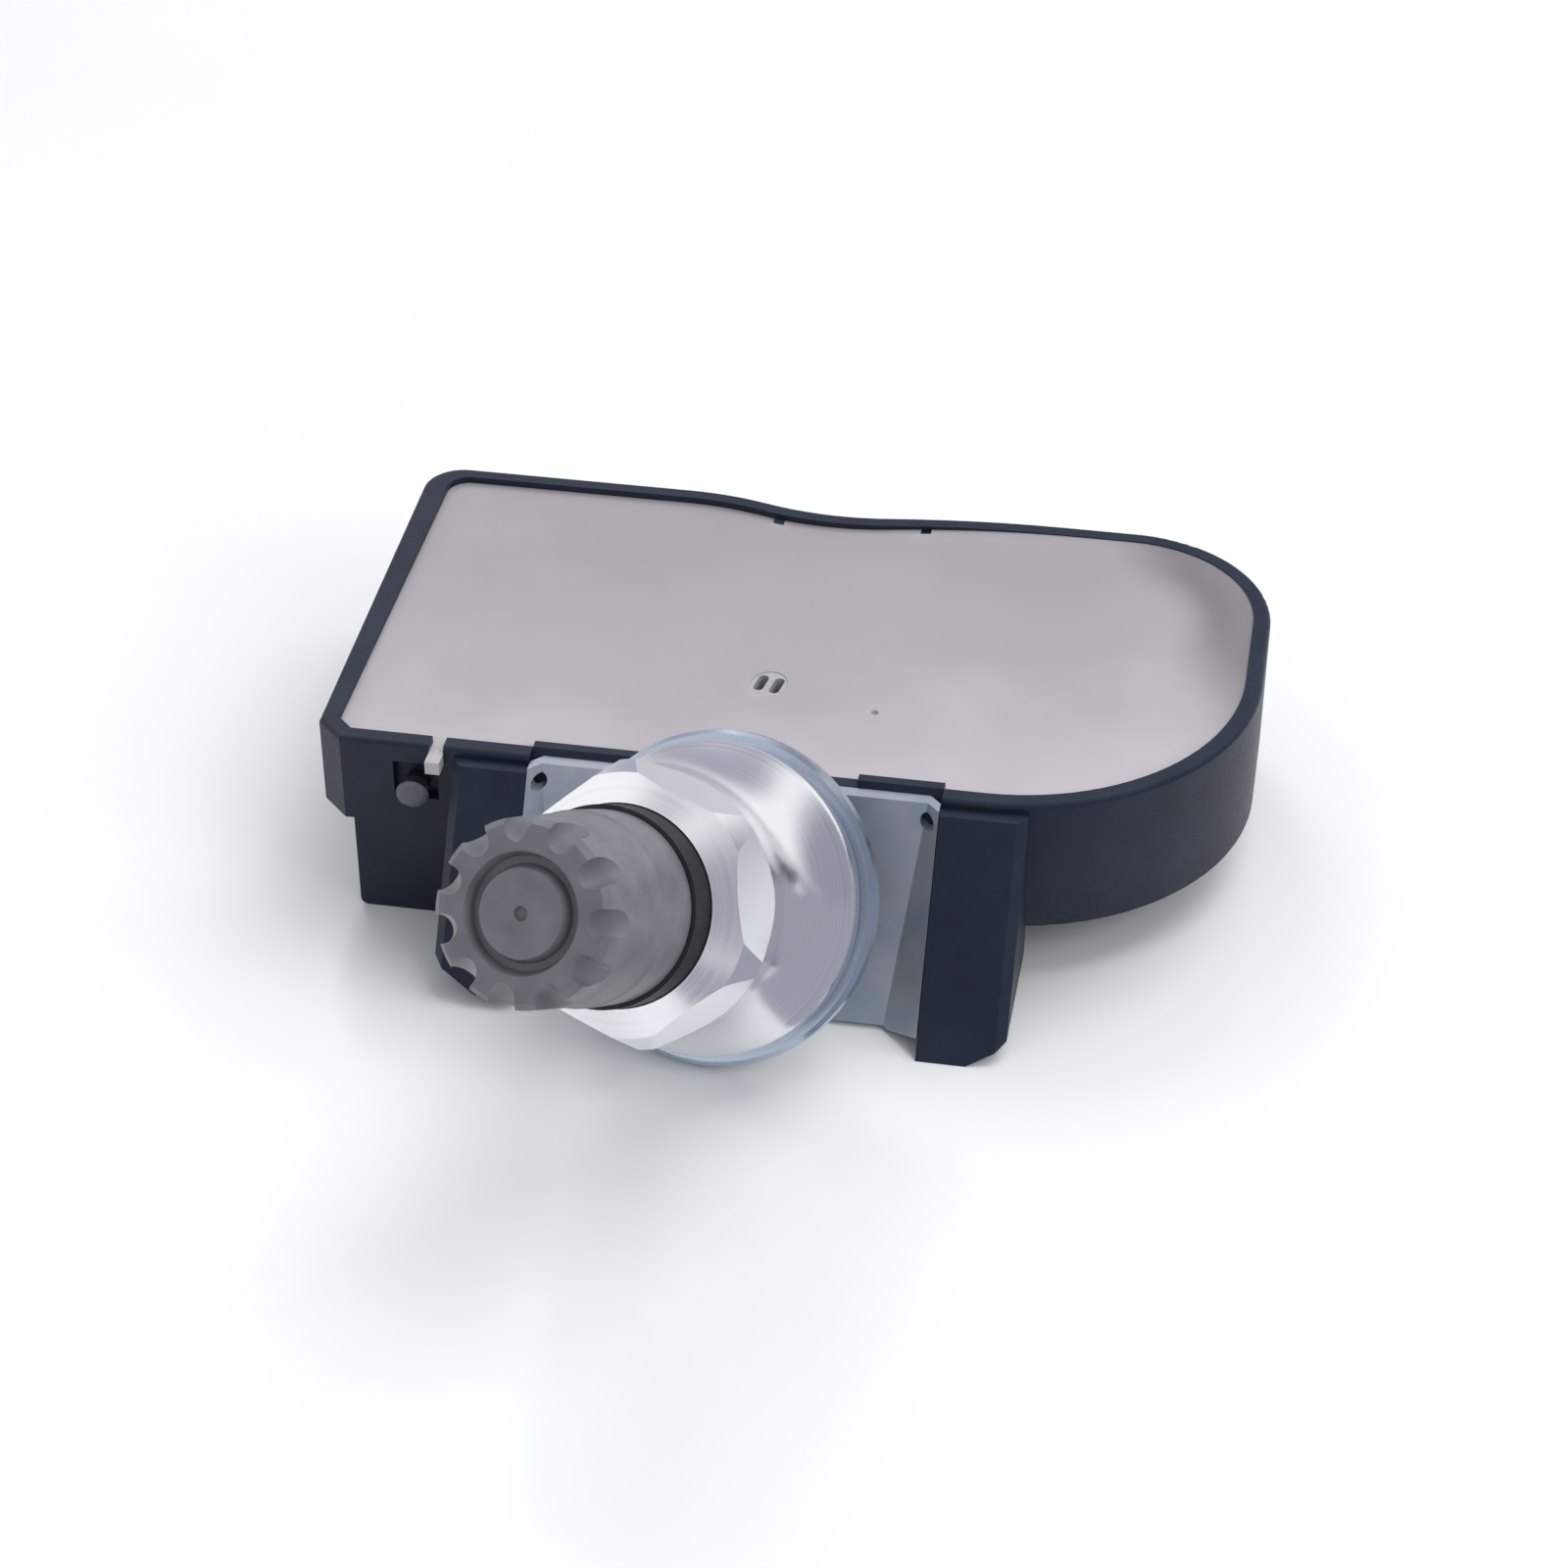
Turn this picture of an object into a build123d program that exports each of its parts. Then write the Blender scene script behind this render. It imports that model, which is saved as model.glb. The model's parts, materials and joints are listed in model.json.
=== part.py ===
from build123d import *
import os
from math import cos, radians, sin, sqrt, tan

# Tyre pressure sensor with its clamp-in valve, in millimetres.
# X runs along the tray from the middle between the ears, Y to the rear, Z up.

# Tray outline, measured from the origin under the middle of the tray
tray_front = 16.1
tray_rear = 16.2
tray_right = 30.75
tray_left_front = 26.3
tray_left_rear = 27.0
round_end_radius = 15.65
rear_right_radius = 9.5
front_left_chamfer = 1.7
rear_left_radius = 2.6
rear_left_thickening = 1.5
least_inner_radius = 0.4
waist_start = -9.0
waist_bend_radius = 19.5
waist_bend_angle = 16.0
waist_rise_angle = 9.0
waist_rise_radius = 74.0

# Tray heights and walls
lip_depth = 6.05
lip_overhang = 2.25
step_x = 6.0
wall = 1.1
floor_thickness = 1.2
board_ledge = 1.2
potting_drop = 0.5
rim_round = 0.3
sole_round = 0.5

# Small features of the tray
rib_places = (-2.5, 7.4)
rib_width = 0.7
rib_reach = 0.5
rib_rise = 0.15
rim_notch_start = -0.5
rim_notch_end = 7.4
rim_notch_depth = 0.4
drain_place = -18.5
drain_width = 0.9
drain_depth = 1.3
pocket_place = -19.9
pocket_width = 2.8
pocket_height = 2.6
pocket_top = 11.4
pocket_depth = 0.7
peg_radius = 0.75
peg_rise = 0.9

# Ears and cradle, which lean with the valve
cradle_lean = 34.2
cradle_front = 20.4
axis_height = 7.2
ear_inner = 12.65
ear_top = 12.2
ear_root = 0.9
ear_bevel = 0.6
right_ear_width = 5.3
right_ear_foot = 0.0
right_foot_chamfer = (2.3, 1.1)
left_ear_width = 4.7
left_ear_foot = 0.8
left_foot_chamfer = (2.8, 1.5)
pad_root = 1.7

# Saddle plate
plate_thickness = 0.7
plate_recess = 1.3
plate_lean = 5.7
plate_foot = 0.3
plate_top = 12.4
plate_gap = 0.05
cheek_fold_top = 11.9
cheek_fold_foot = 10.3
relief_radius = 0.45
relief_drop = 0.9

# Swivel
valve_place = 1.8
ball_radius = 3.4
ball_setback = 4.0
ball_fit = 0.06
socket_wall = 1.0
neck_radius = 2.4
neck_gap = 0.2
rest_swing = 12.5
swing_limit = 13.5

# Stack on the stem, as heights along the valve axis from the ball centre
collar_radius = 5.2
collar_start = 5.0
collar_thickness = 0.5
grommet_radius = 6.8
grommet_thickness = 0.78
sleeve_radius = 5.65
washer_radius = 10.0
washer_thickness = 1.2
washer_edge = 0.25
stack_gap = 0.02
stem_thread_radius = 4.0
slide_fit = 0.05

# Collar nut
nut_length = 14.75
flange_radius = 9.35
flange_thickness = 1.7
flange_round = 0.8
nut_across_flats = 14.2
nut_turned = 40.0
nut_flat_taper = 10.0
nut_face_drop = 1.65
nut_corner_cut = 0.75
nut_corner_drop = 1.3
nut_waist_radius = 7.4
nut_waist_place = 0.5
nut_mouth_radius = 5.75
nut_mouth_depth = 8.0

# Cap and its ring
cap_thread_radius = 3.85
cap_start = 24.5
cap_length = 10.4
cap_skirt_radius = 5.4
cap_skirt_length = 3.4
cap_body_radius = 5.3
cap_front_radius = 5.1
cap_edge = 0.35
cap_boss_radius = 2.4
cap_boss_slope = 0.25
cap_groove_radius = 3.3
cap_groove_depth = 0.8
cap_roof = 1.6
cap_tip_gap = 0.5
gate_radius = 0.4
gate_depth = 0.25
flute_count = 11
flute_radius = 0.8
flute_floor = 3.75
flute_slant = 30.0
ring_radius = 5.67
ring_thickness = 2.6

# Valve core
stem_tip_chamfer = 0.5
chamber_radius = 2.6
chamber_depth = 5.5
air_way_radius = 1.1
barrel_setback = 0.5
barrel_length = 7.7
barrel_wall = 0.8
barrel_web = 0.7
barrel_bridge = 0.8
gasket_place = 2.0
gasket_length = 1.2
gasket_depth = 0.35
pin_radius = 0.6
pin_travel = 1.2
pin_tip_rise = 0.2
pin_tail = 2.6
pin_collar_radius = 1.45
pin_collar_length = 0.6
seal_radius = 1.7
seal_thickness = 0.9
spring_wire = 0.3
spring_turns = 5
spring_length = 3.0
core_fit = 0.03

# Electronics
board_thickness = 0.8
board_gap = 0.4
cell_radius = 12.25
cell_height = 5.0
cell_edge = 0.3
cell_cover = 1.0
cell_x = 14.9
cell_y = -0.4
tab_thickness = 0.3
tab_width = 4.0
tab_length = 9.0
tab_leg_x = 1.2
tab_y = 4.5
port_x = 0.2
port_y = -5.2
port_length = 2.7
port_width = 2.3
port_slot_length = 1.7
port_slot_width = 0.65
port_slot_pitch = 1.05
port_turned = 80.0
chip_length = 4.6
chip_width = 5.5
chip_height = 2.6
radio_size = 5.0
radio_height = 1.0
radio_x = -8.5
radio_y = -5.0
crystal_length = 3.2
crystal_width = 2.5
crystal_height = 0.9
crystal_x = -8.5
crystal_y = 1.5
capacitor_length = 1.6
capacitor_width = 0.8
capacitor_x = -14.0
capacitor_pitch = 2.4
capacitor_count = 4
coil_length = 10.0
coil_end = 2.0
coil_height = 3.2
coil_core = 2.0
coil_gap = 0.5
coil_layer = 0.45
coil_x = -12.0
coil_y = 3.0
loop_thickness = 0.5
loop_height = 4.0
loop_left = -20.5
loop_right = -5.0
loop_front = -9.0
loop_rear = 12.0

# Heights that follow
round_end_bottom = coil_gap + coil_height
round_end_floor = round_end_bottom + floor_thickness
board_top = round_end_floor + board_thickness
cell_bottom = board_top + tab_thickness
cell_top = cell_bottom + cell_height
potting_top = cell_top + tab_thickness + cell_cover
tray_height = potting_top + potting_drop
lip_bottom = tray_height - lip_depth
lip_floor = lip_bottom + floor_thickness
box_left = lip_overhang - tray_left_front
socket_radius = ball_radius + ball_fit + socket_wall

# Planes of the cradle, the saddle plate, the swivel and the valve
cradle_normal = (0, -cos(radians(cradle_lean)), sin(radians(cradle_lean)))
cradle = Plane(origin=(0, -cradle_front, axis_height), x_dir=(1, 0, 0), z_dir=cradle_normal)
saddle = cradle.offset(-plate_recess).rotated((plate_lean, 0, 0))
saddle_back = saddle.offset(-plate_thickness - plate_gap)
ball_centre = cradle.from_local_coords((valve_place, 0, -ball_setback))
swivel = Plane(origin=ball_centre, x_dir=(1, 0, 0), z_dir=cradle_normal)
swing_cos = cos(radians(rest_swing))
swing_sin = sin(radians(rest_swing))
valve_normal = swivel.z_dir * swing_cos - swivel.x_dir * swing_sin
valve_across = swivel.x_dir * swing_cos + swivel.z_dir * swing_sin
valve = Plane(origin=swivel.origin, x_dir=valve_across, z_dir=valve_normal)
valve_axis = Axis(valve.origin, valve.z_dir)
valve_section = Plane(origin=valve.origin, x_dir=valve.x_dir, z_dir=-valve.y_dir)

# Heights along the valve axis that follow
grommet_start = collar_start + collar_thickness + stack_gap
washer_start = grommet_start + grommet_thickness + stack_gap
nut_start = washer_start + washer_thickness + stack_gap
nut_end = nut_start + nut_length
sleeve_end = washer_start + washer_thickness - slide_fit
nut_mouth_floor = nut_end - nut_mouth_depth
cap_end = cap_start + cap_length
cap_inside_end = cap_end - cap_roof
stem_end = cap_inside_end - cap_tip_gap
barrel_end = stem_end - barrel_setback
barrel_start = barrel_end - barrel_length
gasket_start = barrel_start + gasket_place
chamber_start = barrel_start - chamber_depth


def tray_outline(inset, height, left=-tray_left_rear, right=tray_right):
    """Outline of the tray, moved inward by inset and kept between two X values."""
    with BuildSketch(Plane.XY.offset(height)) as outline:
        with BuildLine():
            start = (waist_start, tray_rear - inset)
            down = JernArc(start, (1, 0), waist_bend_radius - inset, -waist_bend_angle)
            up = JernArc(down @ 1, down % 1, waist_bend_radius + inset, waist_bend_angle + waist_rise_angle)
            level = JernArc(up @ 1, up % 1, waist_rise_radius - inset, -waist_rise_angle)
            Polyline(
                level @ 1,
                (tray_right - inset, (level @ 1).Y),
                (tray_right - inset, inset - tray_front),
                (inset - tray_left_front, inset - tray_front),
                (inset * rear_left_thickening - tray_left_rear, tray_rear - inset),
                start,
            )
        make_face()
        front_right = outline.vertices().group_by(Axis.X)[-1].sort_by(Axis.Y)[0]
        fillet(front_right, round_end_radius - inset)
        rear_right = outline.vertices().group_by(Axis.X)[-1].sort_by(Axis.Y)[-1]
        fillet(rear_right, rear_right_radius - inset)
        front_left = outline.vertices().sort_by(Axis.X)[:2].sort_by(Axis.Y)[0]
        chamfer(front_left, max(front_left_chamfer - inset * (2 - sqrt(2)), least_inner_radius))
        rear_left = outline.vertices().sort_by(Axis.Y)[-2:].sort_by(Axis.X)[0]
        fillet(rear_left, max(rear_left_radius - inset, least_inner_radius))
        with Locations(((left + right) / 2, 0)):
            Rectangle(right - left, 2 * (tray_front + tray_rear), mode=Mode.INTERSECT)
    return outline.sketch


def valve_profile(*points):
    """Closed outline of (radius, height) points in the section plane of the valve."""
    with BuildSketch(valve_section) as outline:
        with BuildLine():
            Polyline(*points, close=True)
        make_face()
    return outline.sketch


def fill_cavity(top, mode):
    """Fill or empty the stepped inside of the tray up to a height."""
    box_start = box_left + wall
    extrude(tray_outline(wall, lip_floor), amount=top - lip_floor, mode=mode)
    extrude(tray_outline(wall, round_end_floor, left=box_start), amount=top - round_end_floor, mode=mode)
    deep = tray_outline(wall, floor_thickness, left=box_start + board_ledge, right=step_x - wall)
    extrude(deep, amount=round_end_floor - floor_thickness, mode=mode)


def block(length, width, height, place, mode=Mode.ADD):
    """Box that stands on the point given."""
    with Locations(place):
        Box(length, width, height, align=(Align.CENTER, Align.CENTER, Align.MIN), mode=mode)


def make_ear(width, foot, foot_chamfer):
    """Ear on the right of the saddle, with a chamfered foot and a bevelled outer edge."""
    outer = ear_inner + width
    with BuildPart() as ear:
        with BuildSketch(Plane.XZ.offset(tray_front - ear_root)):
            with BuildLine():
                Polyline(
                    (ear_inner, foot),
                    (outer - foot_chamfer[0], foot),
                    (outer, foot + foot_chamfer[1]),
                    (outer, ear_top),
                    (ear_inner, ear_top),
                    close=True,
                )
            make_face()
        extrude(amount=2 * cradle_front)
        split(bisect_by=cradle, keep=Keep.BOTTOM)
        outer_side = ear.faces().sort_by(Axis.X)[-1]
        leaning = [edge for edge in outer_side.edges() if abs((edge % 0).Y * (edge % 0).Z) > 0.1]
        chamfer(leaning, ear_bevel)
    return ear.part


right_ear = make_ear(right_ear_width, right_ear_foot, right_foot_chamfer)
left_ear = make_ear(left_ear_width, left_ear_foot, left_foot_chamfer)

# Pad behind the saddle plate, between the ears
with BuildPart() as pad:
    with BuildSketch(Plane.XZ.offset(tray_front - pad_root)):
        with Locations((0, tray_height / 2)):
            Rectangle(2 * ear_inner, tray_height)
    extrude(amount=2 * cradle_front)
    split(bisect_by=saddle_back, keep=Keep.BOTTOM)

# Tray with its ears, pad and swivel socket
with BuildPart() as housing:
    extrude(tray_outline(0, lip_bottom), amount=lip_depth)
    extrude(tray_outline(0, round_end_bottom, left=step_x), amount=lip_bottom - round_end_bottom)
    extrude(tray_outline(0, 0, left=box_left, right=step_x), amount=lip_bottom)
    fillet(housing.faces().sort_by(Axis.Z)[0].edges().filter_by(Axis.Y), sole_round)
    rim = housing.faces().sort_by(Axis.Z)[-1].edges()
    fillet(rim, rim_round)
    fill_cavity(tray_height, Mode.SUBTRACT)
    # Two thin ribs on the inside of the rear wall, whose front ends vanish in the pad
    rib_height = potting_top + rib_rise - lip_floor
    for rib_x in rib_places:
        strip = (rib_x - rib_width / 2, rib_x + rib_width / 2)
        extrude(tray_outline(wall / 2, lip_floor, *strip), amount=rib_height)
        extrude(tray_outline(wall + rib_reach, lip_floor, *strip), amount=rib_height, mode=Mode.SUBTRACT)
    with Locations(swivel.origin):
        Sphere(socket_radius)
    # The saddle plate takes the wall's place between the ears
    with BuildSketch(saddle_back):
        Rectangle(2 * ear_inner, 4 * tray_height)
    extrude(amount=2 * cradle_front, mode=Mode.SUBTRACT)
    add(pad.part)
    add(right_ear)
    mirror(left_ear, about=Plane.YZ)
    # Ball socket, open towards the plate
    with Locations(swivel.origin):
        Sphere(ball_radius + ball_fit, mode=Mode.SUBTRACT)
    with BuildSketch(swivel):
        Circle(ball_radius + ball_fit)
    extrude(amount=ball_setback, mode=Mode.SUBTRACT)
    # Low stretch of the rim above the valve
    notch_width = rim_notch_end - rim_notch_start
    notch_place = ((rim_notch_start + rim_notch_end) / 2, -tray_front, tray_height - rim_notch_depth)
    block(notch_width, 2 * pad_root + wall, tray_height, notch_place, Mode.SUBTRACT)
    # Drain slot, pocket and peg beside the left ear
    drain_bottom = (drain_place, -tray_front, tray_height - drain_depth)
    block(drain_width, 2 * wall + pad_root, drain_depth, drain_bottom, Mode.SUBTRACT)
    pocket_bottom = (pocket_place, -tray_front, pocket_top - pocket_height)
    block(pocket_width, 2 * pocket_depth, pocket_height, pocket_bottom, Mode.SUBTRACT)
    with BuildSketch(Plane.XZ.offset(tray_front - pocket_depth)):
        with Locations((pocket_place, pocket_top - pocket_height + peg_rise)):
            Circle(peg_radius)
    extrude(amount=pocket_depth)

# Saddle plate: flat middle, cheeks that flare to the ears, slot for the swinging neck
cheek_reach = ear_inner - plate_gap
slot_half_length = ball_setback * tan(radians(swing_limit)) + neck_radius + neck_gap
with BuildPart() as saddle_plate:
    for height, fold in ((-axis_height, cheek_fold_foot), (axis_height, cheek_fold_top)):
        flare = plate_recess - height * tan(radians(plate_lean))
        section_centre = saddle.from_local_coords((0, height, 0))
        section = Plane(origin=section_centre, x_dir=(1, 0, 0), z_dir=-saddle.y_dir)
        with BuildSketch(section):
            with BuildLine():
                Polyline(
                    (-cheek_reach, flare),
                    (-fold, 0),
                    (fold, 0),
                    (cheek_reach, flare),
                    (cheek_reach, flare - plate_thickness),
                    (fold, -plate_thickness),
                    (-fold, -plate_thickness),
                    (-cheek_reach, flare - plate_thickness),
                    close=True,
                )
            make_face()
    loft(ruled=True)
    split(bisect_by=Plane.XY.offset(plate_foot), keep=Keep.TOP)
    split(bisect_by=Plane.XY.offset(plate_top), keep=Keep.BOTTOM)
    with Locations(swivel.origin):
        Sphere(ball_radius + ball_fit, mode=Mode.SUBTRACT)
    with BuildSketch(swivel):
        SlotOverall(2 * slot_half_length, 2 * (neck_radius + neck_gap))
    extrude(amount=ball_setback, mode=Mode.SUBTRACT)
    relief_height = plate_top - relief_drop
    with BuildSketch(Plane.XZ.offset(cradle_front)):
        with Locations((cheek_fold_top, relief_height), (-cheek_fold_top, relief_height)):
            Circle(relief_radius)
    extrude(amount=-cradle_front, mode=Mode.SUBTRACT)

# Valve stem: ball head, neck, collar, threaded body and cap thread, bored through for the air
cap_shoulder = nut_mouth_floor
with BuildPart() as valve_stem:
    with Locations(valve.origin):
        Sphere(ball_radius)
    stem = valve_profile(
        (0, 0),
        (neck_radius, 0),
        (neck_radius, collar_start),
        (collar_radius, collar_start),
        (collar_radius, collar_start + collar_thickness),
        (stem_thread_radius, collar_start + collar_thickness),
        (stem_thread_radius, cap_shoulder),
        (cap_thread_radius, cap_shoulder),
        (cap_thread_radius, stem_end - stem_tip_chamfer),
        (cap_thread_radius - stem_tip_chamfer, stem_end),
        (0, stem_end),
    )
    revolve(stem, axis=valve_axis)
    bore = valve_profile(
        (0, -ball_radius),
        (air_way_radius, -ball_radius),
        (air_way_radius, chamber_start),
        (chamber_radius, chamber_start),
        (chamber_radius, stem_end),
        (0, stem_end),
    )
    revolve(bore, axis=valve_axis, mode=Mode.SUBTRACT)

# Grommet: rubber disc with the sleeve that fills the hole in the wheel rim
with BuildPart() as grommet:
    rubber = valve_profile(
        (stem_thread_radius, grommet_start),
        (grommet_radius, grommet_start),
        (grommet_radius, grommet_start + grommet_thickness),
        (sleeve_radius, grommet_start + grommet_thickness),
        (sleeve_radius, sleeve_end),
        (stem_thread_radius, sleeve_end),
    )
    revolve(rubber, axis=valve_axis)

# Washer that lies between wheel rim and nut
washer_bore = sleeve_radius + slide_fit
with BuildPart() as washer:
    ring = valve_profile(
        (washer_bore, washer_start),
        (washer_radius - washer_edge, washer_start),
        (washer_radius, washer_start + washer_edge),
        (washer_radius, washer_start + washer_thickness - washer_edge),
        (washer_radius - washer_edge, washer_start + washer_thickness),
        (washer_bore, washer_start + washer_thickness),
    )
    revolve(ring, axis=valve_axis)

# Collar nut: turned with a hollow waist, so that its six tapered flats run out in arcs
nut_corner_radius = nut_across_flats / 2 / cos(radians(30))
nut_face_edge = nut_end - nut_face_drop
nut_corner_rise = nut_face_drop * nut_corner_cut / (nut_corner_radius - nut_mouth_radius)
nut_corner_edge = nut_face_edge - nut_corner_drop
nut_dish_start = nut_start + flange_thickness
nut_waist_height = nut_dish_start + nut_waist_place * (nut_face_edge - nut_dish_start)
nut_flat_root = nut_across_flats / 2 + (nut_face_edge - nut_waist_height) * tan(radians(nut_flat_taper))
nut_bore = stem_thread_radius + slide_fit
with BuildPart() as nut_flats:
    with BuildSketch(valve.offset(nut_waist_height)):
        Circle(flange_radius)
    extrude(amount=nut_length)
    with BuildSketch(valve.offset(nut_waist_height)):
        RegularPolygon(nut_flat_root, 6, major_radius=False, rotation=nut_turned)
    extrude(amount=nut_length, taper=nut_flat_taper, mode=Mode.SUBTRACT)

with BuildPart() as flange_nut:
    with BuildSketch(valve_section) as nut_section:
        with BuildLine():
            Polyline(
                (nut_corner_radius, nut_corner_edge),
                (nut_corner_radius - nut_corner_cut, nut_face_edge + nut_corner_rise),
                (nut_mouth_radius, nut_end),
                (nut_mouth_radius, nut_mouth_floor),
                (nut_bore, nut_mouth_floor),
                (nut_bore, nut_start),
                (flange_radius, nut_start),
                (flange_radius, nut_dish_start),
            )
            ThreePointArc(
                (flange_radius, nut_dish_start),
                (nut_waist_radius, nut_waist_height),
                (nut_corner_radius, nut_corner_edge),
            )
        make_face()
        fillet(nut_section.vertices().group_by(Axis.X)[-1], flange_round)
    revolve(axis=valve_axis)
    add(nut_flats.part, mode=Mode.SUBTRACT)

# Black ring between nut and cap
ring_bore = cap_thread_radius + slide_fit
with BuildPart() as cap_seal_ring:
    seal_section = valve_profile(
        (ring_bore, cap_start - ring_thickness),
        (ring_radius, cap_start - ring_thickness),
        (ring_radius, cap_start - stack_gap),
        (ring_bore, cap_start - stack_gap),
    )
    revolve(seal_section, axis=valve_axis)

# Cap: smooth skirt, flutes that run out behind the front, ring groove and a boss with the gate mark
groove_floor = cap_end - cap_groove_depth
cap_bore = cap_thread_radius + slide_fit
with BuildPart() as valve_cap:
    shell = valve_profile(
        (cap_bore, cap_start),
        (cap_skirt_radius, cap_start),
        (cap_skirt_radius, cap_start + cap_skirt_length),
        (cap_body_radius, cap_start + cap_skirt_length + cap_edge),
        (cap_front_radius, cap_end - cap_edge),
        (cap_front_radius - cap_edge, cap_end),
        (cap_groove_radius, cap_end),
        (cap_groove_radius - cap_boss_slope, groove_floor),
        (cap_boss_radius + cap_boss_slope, groove_floor),
        (cap_boss_radius, cap_end),
        (gate_radius, cap_end),
        (gate_radius, cap_end - gate_depth),
        (0, cap_end - gate_depth),
        (0, cap_inside_end),
        (cap_bore, cap_inside_end),
    )
    revolve(shell, axis=valve_axis)
    flute_place = flute_floor + flute_radius / cos(radians(flute_slant))
    with Locations(valve.offset(cap_end)):
        with PolarLocations(flute_place, flute_count):
            Cylinder(flute_radius, cap_length, rotation=(0, -flute_slant, 0), mode=Mode.SUBTRACT)

# Valve core barrel: screwed into the stem, a web below for the spring and a bridge above for the pin
barrel_radius = chamber_radius - core_fit
barrel_hollow = barrel_radius - barrel_wall
pin_hole = pin_radius + core_fit
groove_radius = barrel_radius - gasket_depth
with BuildPart() as core_barrel:
    brass = valve_profile(
        (pin_hole, barrel_start),
        (barrel_radius, barrel_start),
        (barrel_radius, gasket_start),
        (groove_radius, gasket_start),
        (groove_radius, gasket_start + gasket_length),
        (barrel_radius, gasket_start + gasket_length),
        (barrel_radius, barrel_end),
        (pin_hole, barrel_end),
        (pin_hole, barrel_end - barrel_bridge),
        (barrel_hollow, barrel_end - barrel_bridge),
        (barrel_hollow, barrel_start + barrel_web),
        (pin_hole, barrel_start + barrel_web),
    )
    revolve(brass, axis=valve_axis)

# Ring that seals the barrel in the stem
with BuildPart() as barrel_gasket:
    packing = valve_profile(
        (groove_radius, gasket_start),
        (chamber_radius, gasket_start),
        (chamber_radius, gasket_start + gasket_length),
        (groove_radius, gasket_start + gasket_length),
    )
    revolve(packing, axis=valve_axis)

# Spring on the web of the barrel, drawn as short as the pressed pin leaves it
spring_radius = (pin_hole + barrel_hollow) / 2
spring_start = barrel_start + barrel_web + stack_gap + spring_wire / 2
spring_rise = spring_length - spring_wire
spring_pitch = spring_rise / spring_turns
spring_path = valve.offset(spring_start).location * Helix(spring_pitch, spring_rise, spring_radius)
with BuildPart() as core_spring:
    with BuildSketch(Plane(origin=spring_path @ 0, z_dir=spring_path % 0)):
        Circle(spring_wire / 2)
    sweep(path=spring_path, is_frenet=True)

# Pin that the fill chuck presses, with a collar for the spring and a foot for the seal
seal_top = barrel_start - stack_gap
seal_bottom = seal_top - seal_thickness
collar_bottom = barrel_start + barrel_web + spring_length + pin_travel + 3 * stack_gap
pin_foot_radius = (pin_radius + seal_radius) / 2
with BuildPart() as core_pin:
    rod = valve_profile(
        (0, barrel_start - pin_tail),
        (pin_foot_radius, barrel_start - pin_tail),
        (pin_foot_radius, seal_bottom),
        (pin_radius, seal_bottom),
        (pin_radius, collar_bottom),
        (pin_collar_radius, collar_bottom),
        (pin_collar_radius, collar_bottom + pin_collar_length),
        (pin_radius, collar_bottom + pin_collar_length),
        (pin_radius, barrel_end + pin_tip_rise),
        (0, barrel_end + pin_tip_rise),
    )
    revolve(rod, axis=valve_axis)

# Rubber disc on the pin that shuts the barrel
with BuildPart() as core_seal:
    disc = valve_profile(
        (pin_radius, seal_bottom),
        (seal_radius, seal_bottom),
        (seal_radius, seal_top),
        (pin_radius, seal_top),
    )
    revolve(disc, axis=valve_axis)

# Circuit board on the floor of the round end, cut away round the ball socket
with BuildPart() as circuit_board:
    board = tray_outline(wall + board_gap, round_end_floor, left=box_left + wall + board_gap)
    extrude(board, amount=board_thickness)
    with BuildSketch(Plane.XY.offset(round_end_floor)):
        with Locations((valve_place, ball_centre.Y)):
            Circle(socket_radius + board_gap)
        with Locations((0, pad_root - tray_front)):
            Rectangle(2 * (ear_inner + board_gap), 2 * board_gap)
    extrude(amount=board_thickness, mode=Mode.SUBTRACT)

# Coin cell with rounded can edges, between two spring tabs
with BuildPart() as coin_cell:
    with BuildSketch(Plane.XY.offset(cell_bottom)):
        with Locations((cell_x, cell_y)):
            Circle(cell_radius)
    extrude(amount=cell_height)
    fillet(coin_cell.edges().filter_by(GeomType.CIRCLE), cell_edge)

with BuildPart() as battery_tab_lower:
    block(tab_length, tab_width, tab_thickness, (cell_x, cell_y, board_top))

with BuildPart() as battery_tab_upper:
    with BuildSketch(Plane.XZ.offset(-tab_y)):
        with BuildLine():
            Polyline(
                (tab_leg_x, board_top),
                (tab_leg_x + tab_thickness, board_top),
                (tab_leg_x + tab_thickness, cell_top),
                (cell_x, cell_top),
                (cell_x, cell_top + tab_thickness),
                (tab_leg_x, cell_top + tab_thickness),
                close=True,
            )
        make_face()
    extrude(amount=tab_width / 2, both=True)

# Pressure chip, and the sleeve that leads air to it through the potting
with BuildPart() as pressure_chip:
    block(chip_length, chip_width, chip_height, (0, port_y, board_top))

chip_top = board_top + chip_height
with BuildPart() as port_sleeve:
    with BuildSketch(Plane.XY.offset(chip_top)):
        with Locations(Location((port_x, port_y), port_turned)):
            Ellipse(port_length / 2, port_width / 2)
            with GridLocations(0, port_slot_pitch, 1, 2):
                SlotOverall(port_slot_length, port_slot_width, mode=Mode.SUBTRACT)
    extrude(amount=potting_top - chip_top)

with BuildPart() as radio_chip:
    block(radio_size, radio_size, radio_height, (radio_x, radio_y, board_top))

with BuildPart() as crystal:
    block(crystal_length, crystal_width, crystal_height, (crystal_x, crystal_y, board_top))

with BuildPart() as capacitors:
    for number in range(capacitor_count):
        capacitor_y = (number - (capacitor_count - 1) / 2) * capacitor_pitch
        block(capacitor_length, capacitor_width, capacitor_width, (capacitor_x, capacitor_y, board_top))

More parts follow.
